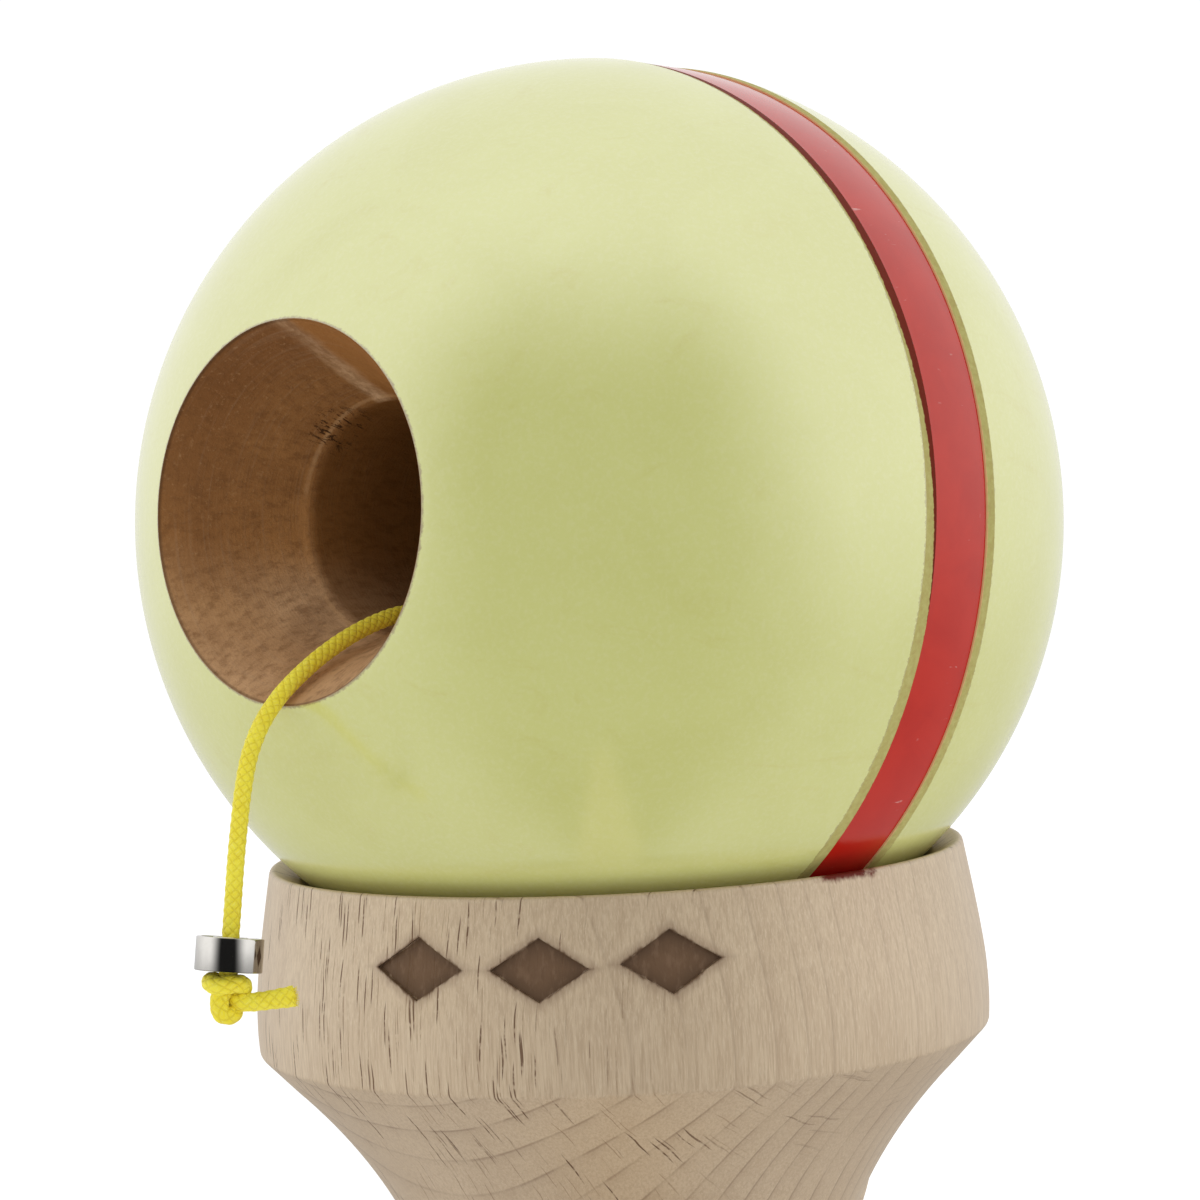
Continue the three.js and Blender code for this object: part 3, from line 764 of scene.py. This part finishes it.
def lacquer():
    """Pale yellow-green gloss lacquer, with faint veins of the wood below it and a few specks."""
    m = Nodes("pale_lacquer", Roughness=0.15, IOR=2.0)
    place = m.place()
    h = m.dot(place, BORE, BALL)
    cloud = m.noise(place, 0.09, 4.0, 0.6, 0.8)
    vein = m.noise(m.scaled(h, m.dot(place, SIDE), m.dot(place, DOWN), (34, 5.0, 3.2)), 1.0, 4.0, 0.6, 1.5)
    colour = m.mix(m.range(cloud, 0.3, 0.7), (0.700, 0.715, 0.268), (0.670, 0.680, 0.238))
    colour = m.mix(m.range(vein, 0.56, 0.8, 0.0, 0.55), colour, (0.640, 0.610, 0.180))
    grain = m.noise(place, 3.2, 3.0, 0.7)
    colour = m.mix(m.range(grain, 0.4, 0.75, 0.0, 0.20), colour, (0.80, 0.80, 0.46))
    speck = m.cells(place, 0.16)
    luck = m.add("SeparateColor", m.cells(place, 0.16, out="Color"))
    dot = m.times(m.range(speck, 0.010, 0.024, 1.0, 0.0), m.range(luck, 0.45, 0.75))
    colour = m.mix(m.times(dot, 0.7), colour, (0.300, 0.210, 0.055))
    # the lacquer's worn edge along the stripe
    chip = m.times(m.noise(place, 2.2, 4.0, 0.8), 0.60)
    edge = m.minus(m.calc("ABSOLUTE", m.minus(h, 0.76)), m.plus(chip, 3.01))
    worn = m.range(edge, -0.03, 0.03, 1.0, 0.0)
    colour = m.mix(worn, colour, (0.480, 0.440, 0.160))
    mouth = m.minus(h, m.plus(m.times(chip, -0.3), MOUTH + 0.02))
    colour = m.mix(m.range(mouth, -0.02, 0.05), colour, (0.360, 0.280, 0.120))
    peel = m.noise(place, 0.55, 3.0, 0.55)
    fine = m.noise(place, 5.0, 2.0, 0.5)
    height = m.plus(m.times(peel, 1.0), m.times(fine, 0.03))
    height = m.minus(height, m.times(m.plus(dot, worn), 0.5))
    return m.finish(Base_Color=colour, Normal=m.bump(height, 0.010, 0.6))


def red_paint():
    m = Nodes("red_lacquer", Roughness=0.13, IOR=1.44, Specular_Tint=(1.0, 0.84, 0.77, 1.0))
    place = m.place()
    h = m.dot(place, BORE, BALL)
    cloud = m.noise(place, 0.25, 4.0, 0.6, 0.5)
    colour = m.mix(m.range(cloud, 0.3, 0.7), (0.550, 0.020, 0.010), (0.490, 0.015, 0.008))
    around = m.calc("ARCTAN2", m.dot(place, SIDE, BALL), m.dot(place, DOWN, BALL))
    scratch = m.noise(m.join(m.times(h, 0.35), m.times(around, 55.0), 0.0), 1.0, 3.0, 0.6, 0.3)
    luck = m.noise(m.join(m.times(h, 1.1), m.times(around, 9.0), 4.0), 1.0, 2.0)
    line = m.times(m.range(scratch, 0.64, 0.70), m.range(luck, 0.55, 0.68))
    colour = m.mix(m.times(line, 0.6), colour, (0.75, 0.45, 0.42))
    height = m.minus(m.noise(place, 0.9, 3.0, 0.6), m.times(line, 0.4))
    return m.finish(Base_Color=colour, Normal=m.bump(height, 0.012, 0.6))


def groove_wall():
    m = Nodes("stained_ledge_with_painted_light_and_shade", Roughness=0.6, Specular_IOR_Level=0.06)
    place = m.place()
    h = m.dot(place, BORE, BALL)
    cloud = m.noise(place, 2.4, 4.0, 0.7)
    colour = m.ramp(
        cloud, (0.25, (0.430, 0.335, 0.120)), (0.5, (0.475, 0.430, 0.150)), (0.8, (0.560, 0.520, 0.210)))
    shake = m.times(m.noise(place, 3.0, 3.0, 0.7), 0.30)
    level, front = m.plus(h, shake), m.calc("GREATER_THAN", h, 0.8)
    # painted shade: the dark line on the front ledge, the shaded step beside the red, painted on the ball's
    # upper half only
    reach = m.range(m.dot(place, (0.0, 0.0, 1.0), BALL), -7.0, 13.0, 0.0, 0.82, smooth=False)
    painted_shade = m.range(m.minus(level, reach), STRIPE[1] + 0.13, STRIPE[1] + 0.21, 1.0, 0.0)
    colour = m.mix(m.times(painted_shade, front), colour, (0.150, 0.017, 0.006))
    # painted light: the far wall of the groove, lit and with the red reflected in it, painted as an orange
    # line
    painted_lit_wall = m.times(m.range(level, STRIPE[0] + 0.01, STRIPE[0] + 0.09, 0.0, 0.75), m.minus(1.0, front))
    colour = m.mix(painted_lit_wall, colour, (0.740, 0.400, 0.200))
    return m.finish(Base_Color=colour, Normal=m.bump(cloud, 0.05, 0.6))


TORN = in_bore(18.9, -5.3, 4.4)     # a small tear in the bore's wall
ACROSS_LIGHT_EDGE = (0.632, 0.052, 0.773)  # square to the painted pale line at the edge of the light in the flare


def bored_wood():
    """The bore's bare wood, with painted light and shade: lighter towards the bottom, darker towards the top
    and deep in the bore.
    """
    m = Nodes("bored_beech", Roughness=0.7, Specular_IOR_Level=0.08)
    place = m.place()
    h, a, b = m.dot(place, BORE, BALL), m.dot(place, SIDE, BALL), m.dot(place, DOWN, BALL)
    broad = m.noise(m.scaled(h, a, b, (12, 6, 7)), 1.0, 4.0, 0.6, 0.8)
    fine = m.noise(m.scaled(h, a, b, (1.2, 0.5, 0.5)), 1.0, 4.0, 0.65)
    speck = m.noise(place, 3.6, 3.0, 0.7)
    around = m.calc("ARCTAN2", a, b)
    tool = m.noise(m.join(m.times(h, 5.0), m.times(around, 1.2), 0.0), 1.0, 2.0)
    # painted light and shade: darker towards the top of the bore and lighter towards the bottom, where the
    # light falls in
    colour = m.ramp(m.calc("DIVIDE", m.plus(b, 8.0), 18.0), (0.0, (0.215, 0.090, 0.028)),
                    (0.5, (0.325, 0.150, 0.050)), (0.75, (0.500, 0.280, 0.125)), (1.0, (0.620, 0.375, 0.195)))
    colour = m.mix(m.range(h, 26.5, 20.5, 0.0, 0.50), colour, (0.640, 0.330, 0.115))
    lit = m.times(m.range(b, 1.5, 6.0), m.range(h, 26.0, 20.0, 0.0, 0.65))
    colour = m.mix(lit, colour, (0.860, 0.600, 0.360))
    colour = m.mix(m.range(broad, 0.3, 0.72, 0.0, 0.45), colour, (0.200, 0.085, 0.028))
    colour = m.mix(m.range(fine, 0.42, 0.72, 0.0, 0.45), colour, (0.150, 0.062, 0.020))
    colour = m.mix(m.range(speck, 0.55, 0.78, 0.0, 0.35), colour, (0.560, 0.340, 0.165))
    colour = m.mix(m.range(tool, 0.5, 0.75, 0.0, 0.16), colour, (0.430, 0.290, 0.180))
    # painted shade deep in the narrow bore past the flare
    colour = m.mix(m.range(h, 18.2, 19.4, 0.68, 0.0), colour, (0.135, 0.050, 0.006))
    # a painted highlight along the corner where the flare meets the narrow bore
    corner = m.range(m.calc("ABSOLUTE", m.minus(h, MOUTH - 8.4)), 0.06, 0.18, 1.0, 0.0)
    colour = m.mix(m.times(corner, m.range(broad, 0.42, 0.62, 0.0, 0.40)), colour, (0.600, 0.370, 0.180))
    colour = m.mix(m.range(h, MOUTH - 0.22, MOUTH - 0.06, 0.0, 0.5), colour, (0.050, 0.026, 0.012))
    # painted light across the flare: a pale line at the edge of the light, lit and redder wood painted above
    # it, and a torn patch below
    light_edge = m.plus(m.dot(place, ACROSS_LIGHT_EDGE, BALL), m.times(m.minus(broad, 0.5), 0.9))
    above = m.times(m.range(light_edge, -1.64, -1.30), m.range(h, 19.0, 20.0))
    colour = m.mix(m.times(above, 0.5), colour, (0.410, 0.175, 0.045))
    in_flare = m.times(m.range(h, 18.4, 19.2), m.range(h, 26.0, 20.5, 0.35, 1.0))
    pale = m.times(m.range(m.calc("ABSOLUTE", m.plus(light_edge, 1.75)), 0.08, 0.55, 1.0, 0.0), in_flare)
    colour = m.mix(m.times(pale, m.range(fine, 0.3, 0.6, 0.85, 0.35)), colour, (0.740, 0.500, 0.290))
    torn = m.range(m.measure("DISTANCE", place, TORN), 1.2, 2.4, 1.0, 0.0)
    slanted = m.scaled(m.dot(place, (0.5, 0.0, 0.87)), m.dot(place, (0.87, 0.0, -0.5)), h, (0.25, 1.1, 2.0))
    tear = m.noise(slanted, 1.0, 3.0, 0.7, 1.0)
    tear = m.times(m.range(tear, 0.56, 0.62), torn)
    colour = m.mix(m.times(tear, 0.8), colour, (0.035, 0.014, 0.005))
    height = m.plus(m.times(fine, 0.8), m.plus(m.times(tool, 0.3), m.times(speck, 0.5)))
    height = m.minus(height, m.times(tear, 1.5))
    return m.finish(Base_Color=colour, Normal=m.bump(height, 0.12, 0.8))


def ball():
    def latitude(place, radius=BALL_RADIUS):
        return math.degrees(math.asin(place / radius))

    mouth = math.degrees(math.acos(MOUTH_RADIUS / BALL_RADIUS))
    hole_edge = math.degrees(math.acos(1.6 / BALL_RADIUS))
    back = arc((0, 0), BALL_RADIUS, -hole_edge, latitude(LEDGE[0]), 64)
    floor = arc((0, 0), FLOOR_RADIUS, *(latitude(place, FLOOR_RADIUS) for place in STRIPE), 10)
    front = arc((0, 0), BALL_RADIUS, latitude(LEDGE[1]), mouth, 44)
    inner = [(math.sqrt(LEDGE_RADIUS ** 2 - h * h), h) for h in (STRIPE[0] - 0.04, STRIPE[1] + 0.04)]
    ledges = [[back[-1], inner[0], floor[0]], [floor[-1], inner[1], front[0]]]
    flare = curve([(MOUTH_RADIUS, MOUTH), (9.8, MOUTH - 2.6), (8.6, MOUTH - 5.2), (7.5, MOUTH - 8.2)], 0.35)
    deep = [flare[-1], (7.15, MOUTH - 8.7), (6.75, MOUTH - 14), (6.2, MOUTH - 31), (5.0, MOUTH - 34),
            (1.4, MOUTH - 36)]
    hole = [deep[-1], (1.4, -27.5), (1.6, back[0][1])]
    outline, marks = chain(
        back, 0.05, ledges[0], 0.02, floor, 0.02, ledges[1], 0.05, front, 0.06,
        [front[-1]] + flare[1:], 0.3, deep, 0.2, hole)
    looks = [(0, 1, 2, 1, 0, 3, 3, 3)[mark] for mark in marks]
    made = lathe("ball_turned", outline[:-1], facing(BALL, BORE), 320,
                 [lacquer(), groove_wall(), red_paint(), bored_wood()], looks[:-1] + [3], loop=True, sharp=50)
    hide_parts("ball")
    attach(made, "ball")


# ---------------------------------------------------------------- bearing

def steel(name, rough, tone=(0.45, 0.435, 0.41), lines=18.0):
    """Ground steel with fine marks round it."""
    m = Nodes(name, Metallic=1.0)
    place = m.place()
    axis = UP_CORD / np.linalg.norm(UP_CORD)
    level = m.dot(place, axis, BEARING_AT)
    marks = m.noise(m.join(m.times(level, lines), 2.0, 5.0), 1.0, 3.0, 0.6)
    smear = m.noise(place, 0.9, 3.0, 0.6)
    colour = m.mix(m.range(smear, 0.35, 0.7), tone, tuple(c * 0.93 for c in tone))
    return m.finish(Base_Color=colour, Roughness=m.range(smear, 0.2, 0.8, rough, rough + 0.05),
                    Normal=m.bump(marks, 0.0015, 0.5))


def brass():
    m = Nodes("pressed_brass", Metallic=1.0)
    smear = m.noise(m.place(), 2.2, 3.0, 0.6)
    colour = m.mix(smear, (0.58, 0.39, 0.13), (0.42, 0.27, 0.08))
    return m.finish(Base_Color=colour, Roughness=m.range(smear, 0.2, 0.8, 0.28, 0.46),
                    Normal=m.bump(smear, 0.004, 0.5))


def round_outline(radius, reach, steps):
    """A ball's outline, plain past reach degrees from its middle."""
    return [(0.0, -radius), *arc((0, 0), radius, -reach, reach, steps), (0.0, radius)]


def bearing():
    place = facing(BEARING_AT, UP_CORD)
    ground, plate = steel("ground_steel", 0.045), steel("shield_steel", 0.22, (0.40, 0.39, 0.38), 3.0)
    yellow = brass()
    pitch, race, roller, pocket = 1.375, 0.39, 0.35, 0.41
    shoulder = math.degrees(math.acos(0.345 / race))

    def ring(name, node, body, outline, material, segments=160):
        made = lathe(name, outline, place, segments, [material], loop=True, sharp=45)
        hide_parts(node)
        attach(made, body)
        return made

    soft = 0.07
    outer = [(1.72, -1.0), (2.0 - soft, -1.0), (2.0 - soft * 0.29, -1.0 + soft * 0.29), (2.0, -1.0 + soft),
             (2.0, 1.0 - soft), (2.0 - soft * 0.29, 1.0 - soft * 0.29), (2.0 - soft, 1.0), (1.72, 1.0),
             (1.70, 0.97), *arc((pitch, 0), race, shoulder, -shoulder, 14), (1.70, -0.97)]
    inner = [(0.78, -0.97), (0.81, -1.0), (1.0, -1.0), (1.03, -0.97),
             *arc((pitch, 0), race, 180 + shoulder, 180 - shoulder, 14),
             (1.03, 0.97), (1.0, 1.0), (0.81, 1.0), (0.78, 0.97)]
    made = [
        ring("bearing_outer_turned", "bearing_outer_ring", "bearing_outer", outer, ground),
        ring("bearing_inner_turned", "bearing_inner_ring", "bearing_inner", inner, ground,
             96),
    ]
    shield = [(1.13, 0.84), (1.16, 0.82), (1.62, 0.82), (1.69, 0.84), (1.69, 0.90), (1.60, 0.92),
              (1.17, 0.92), (1.13, 0.90)]
    for side, node in ((1, "bearing_top_shield"), (-1, "bearing_bottom_shield")):
        shape = [(r, side * z) for r, z in shield]
        made.append(ring(node + "_pressed", node, "bearing_outer", shape, plate, 96))
    balls, seats = [], []
    for number in range(7):
        low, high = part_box(f"bearing_ball_{number + 1}")
        seats.append(facing(np.array((low + high) / 2) / MM, place[:3, 2]))
        shape = round_outline(roller, 80, 16)
        piece = lathe(f"bearing_ball_{number + 1}_polished", shape, seats[-1], 32, [ground])
        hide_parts(f"bearing_ball_{number + 1}")
        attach(piece, "bearing_cage")
        balls.append(piece)
    strip = [(pitch - 0.13, -0.48), (pitch - 0.11, -0.5), (pitch + 0.11, -0.5), (pitch + 0.13, -0.48),
             (pitch + 0.13, 0.48), (pitch + 0.11, 0.5), (pitch - 0.11, 0.5), (pitch - 0.13, 0.48)]
    cage = lathe("bearing_cage_pressed", strip, place, 140, [yellow], loop=True)
    pockets = [lathe("pocket", round_outline(pocket, 75, 12), seat, 28, []) for seat in seats]
    cut(cage, pockets, sharp=40)
    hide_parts("bearing_cage")
    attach(cage, "bearing_cage")
    return made + [cage] + balls


cross_piece()
handle()
ball()
BEARING = bearing()


# ---------------------------------------------------------------- the cords' places

# The long cord's and the end cord's places are baked into their meshes; the two points along LEAN are worked
# out and not used.
LEAN = np.array([-0.3, 0.42, 0.85])
tuple(LEAN / LEAN.dot(LEAN) * 30.6 * MM + np.array([0, AXIS_Y, 0]) * MM)
tuple(LEAN / LEAN.dot(LEAN) * 79.0 * MM + np.array([0, AXIS_Y, 0]) * MM)
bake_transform(LONG_CORD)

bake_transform(END_CORD)


# ---------------------------------------------------------------- floor and light

def floor():
    m = Nodes("pale_floor", Roughness=0.7, Specular_IOR_Level=0.2, Emission_Color=(1.0, 1.0, 1.0, 1.0),
              Emission_Strength=0.33)
    cloud = m.noise(m.place(), 0.02, 3.0, 0.6)
    colour = m.mix(m.range(cloud, 0.3, 0.7), (0.90, 0.90, 0.90), (0.88, 0.88, 0.885))
    disc = [(0.0, -3.0), (460, -3.0), (460, 0.0), (0.0, 0.0)]
    made = lathe("floor", disc, facing((0, 350, -0.02), (0, 0, 1), (1, 0, 0)), 128,
                 [m.finish(Base_Color=colour)])
    made.data.polygons.foreach_set("use_smooth", np.full(len(made.data.polygons), False))
    made.visible_glossy = False


TENT = 0.78            # how bright the tent is


def surroundings():
    """An even white tent. Gloss mirrors its bright sides and top, the dark opening in front and a dim floor
    and back."""
    world = bpy.data.worlds.new("tent")
    world.use_nodes = True
    bpy.context.scene.world = world
    m = Nodes.__new__(Nodes)
    m.tree = world.node_tree
    ground = m.tree.nodes["Background"]
    way = m.add("SeparateXYZ", m.add("TexCoord", out="Generated")).node
    x, y, z = way.outputs
    azimuth = m.calc("ARCTAN2", x, m.times(y, -1.0))
    height = m.calc("ARCSINE", z)
    sides = m.plus(m.range(azimuth, -1.15, -0.35, 1.0, 0.0), m.range(azimuth, 0.42, 1.22))
    opening = m.times(m.minus(1.0, sides), m.range(height, 0.50, 1.35, 1.0, 0.0))
    bright = m.times(m.minus(1.0, opening), m.range(height, -0.65, 0.25, 0.30, 1.0))
    back = m.ramp(y, (0.0, 1.0), (0.25, 0.90), (0.5, 0.80), (0.7, 0.72), (0.87, 0.62), (1.0, 0.54))
    mirrored = m.plus(m.times(m.times(bright, back), 1.85), 0.02)
    gloss, shown = m.add("LightPath", out="Is Glossy Ray"), m.add("LightPath", out="Is Camera Ray")
    plain = m.range(shown, 0.0, 1.0, TENT, 1.05, smooth=False)
    strength = m.plus(m.times(gloss, m.minus(mirrored, TENT)), plain)
    m.feed(ground.inputs["Color"], (1.0, 1.0, 1.0, 1.0))
    m.feed(ground.inputs["Strength"], strength)


def lamp(name, place, aim, size, power, colour=(1.0, 1.0, 1.0)):
    data = bpy.data.lights.new(name, "AREA")
    data.shape, data.size, data.size_y, data.energy, data.color = "RECTANGLE", size[0], size[1], power, colour
    made = bpy.data.objects.new(name, data)
    made.location = place
    made.rotation_mode = "QUATERNION"
    made.rotation_quaternion = (Vector(aim) - Vector(place)).to_track_quat("-Z", "Y")
    made.visible_camera = made.visible_glossy = False
    bpy.context.scene.collection.objects.link(made)


floor()
surroundings()
lamp("top_softbox", (0.0, 0.05, 0.9), (0.0, 0.0, 0.08), (0.8, 0.8), 0.5)
lamp("left_softbox", (-0.85, -0.15, 0.35), (0.0, 0.0, 0.08), (0.6, 0.8), 0.36)
lamp("right_softbox", (0.85, 0.05, 0.35), (0.0, 0.0, 0.08), (0.6, 0.8), 0.55)
bpy.context.scene.view_settings.view_transform = "Standard"
